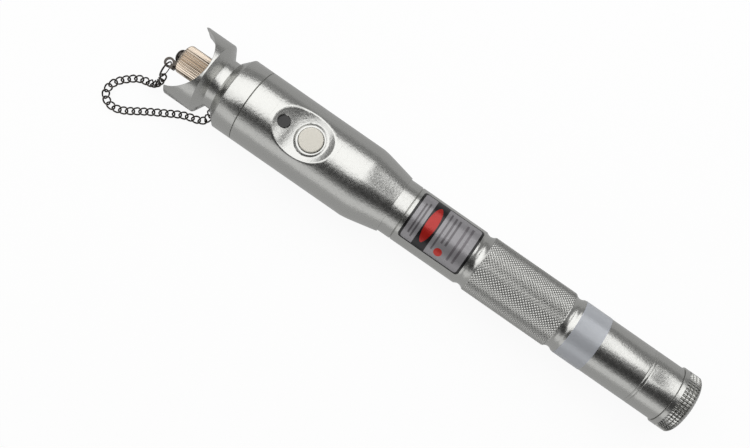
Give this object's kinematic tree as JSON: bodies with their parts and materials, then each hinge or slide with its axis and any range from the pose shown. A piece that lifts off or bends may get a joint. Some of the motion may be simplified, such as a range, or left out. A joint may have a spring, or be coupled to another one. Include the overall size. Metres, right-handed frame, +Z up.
{
  "type": "visual fault locator",
  "caption": "Pen-shaped metal red-light fibre tester with a horned nose guard, chained dust cap, push button, knurled grip and screw tail cap.",
  "frame": {"origin": "mouth of the fibre port, on the pen's axis", "axes": "+X along the pen from the nose to the tail, +Z up through the button, the pen lying on its side"},
  "size_m": [0.2105, 0.0381, 0.025],
  "materials": {
    "satin_aluminium": "bead-blasted clear anodised",
    "nickel_plate": "bright nickel plate over brass",
    "blackened_steel": "dark nickel-plated steel",
    "brass": "turned brass",
    "ceramic": "polished zirconia",
    "glass": "polished glass",
    "button_cap": "matt moulded ABS",
    "black_plastic": "moulded",
    "circuit_board": "solder mask",
    "carrier_plastic": "moulded",
    "lamp": "clear red resin",
    "smoked_window": "smoked acrylic",
    "label_print": "foil label",
    "seal_paper": "foil tape",
    "rubber": "moulded",
    "steel": "spring wire",
    "cell_jacket": "printed film over steel"
  },
  "bodies": {
    "pen": {"nose_guard": "satin_aluminium", "port_nozzle": "nickel_plate", "ferrule_sleeve": "ceramic", "laser_barrel": "brass", "focus_lens": "glass", "laser_diode": "brass", "head_shell": "satin_aluminium", "power_switch": "black_plastic", "circuit_board": "circuit_board", "board_carrier": "carrier_plastic", "indicator_led": "lamp", "light_window": "smoked_window", "tether_chain": "blackened_steel", "chain_anchor": "blackened_steel", "front_tube": "satin_aluminium", "rear_tube": "satin_aluminium", "label_patch": "label_print", "seal_band": "seal_paper", "battery_front": "cell_jacket", "battery_rear": "cell_jacket", "front_contact_disc": "black_plastic", "front_contact_pin": "brass"},
    "button": {"power_button": "button_cap", "switch_plunger": "black_plastic"},
    "swivel": {"swivel_tab": "blackened_steel"},
    "cap": {"dust_cap": "nickel_plate", "swivel_rivet": "blackened_steel"},
    "ring": {"split_ring": "blackened_steel"},
    "tail_contact_set": {"tail_spring": "steel", "tail_contact": "steel"},
    "tail": {"tail_cap": "satin_aluminium", "tail_seal": "rubber"}
  },
  "joints": [
    {"name": "button_press", "type": "slide", "parent": "pen", "child": "button", "axis": [0, 0, -1], "range_m": [0, 0.0008], "stiffness_N_per_m": 1000, "springref_m": -0.0004},
    {"name": "cap_travel", "type": "slide", "parent": "pen", "child": "swivel", "axis": [-1, 0, 0], "range_m": [0, 0.00225]},
    {"name": "cap_turn", "type": "hinge", "parent": "swivel", "child": "cap", "pos_m": [0, 0, 0], "axis": [-1, 0, 0], "range_deg": [0, 1080]},
    {"name": "ring_swing", "type": "hinge", "parent": "pen", "child": "ring", "pos_m": [-0.0042, -0.00777, -0.00314], "axis": [0, -0.5878, 0.809], "range_deg": [0, 24.95]},
    {"name": "tail_travel", "type": "slide", "parent": "pen", "child": "tail_contact_set", "axis": [1, 0, 0], "range_m": [0, 0.005]},
    {"name": "tail_turn", "type": "hinge", "parent": "tail_contact_set", "child": "tail", "pos_m": [0.187, 0, 0], "axis": [1, 0, 0], "range_deg": [0, 1800]}
  ],
  "couplings": [
    {"joint": "cap_turn", "follows": "cap_travel", "rad_per_m": 8377.6},
    {"joint": "ring_swing", "follows": "cap_travel", "rad_per_m": 193.43},
    {"joint": "tail_turn", "follows": "tail_travel", "rad_per_m": 6283.2}
  ]
}
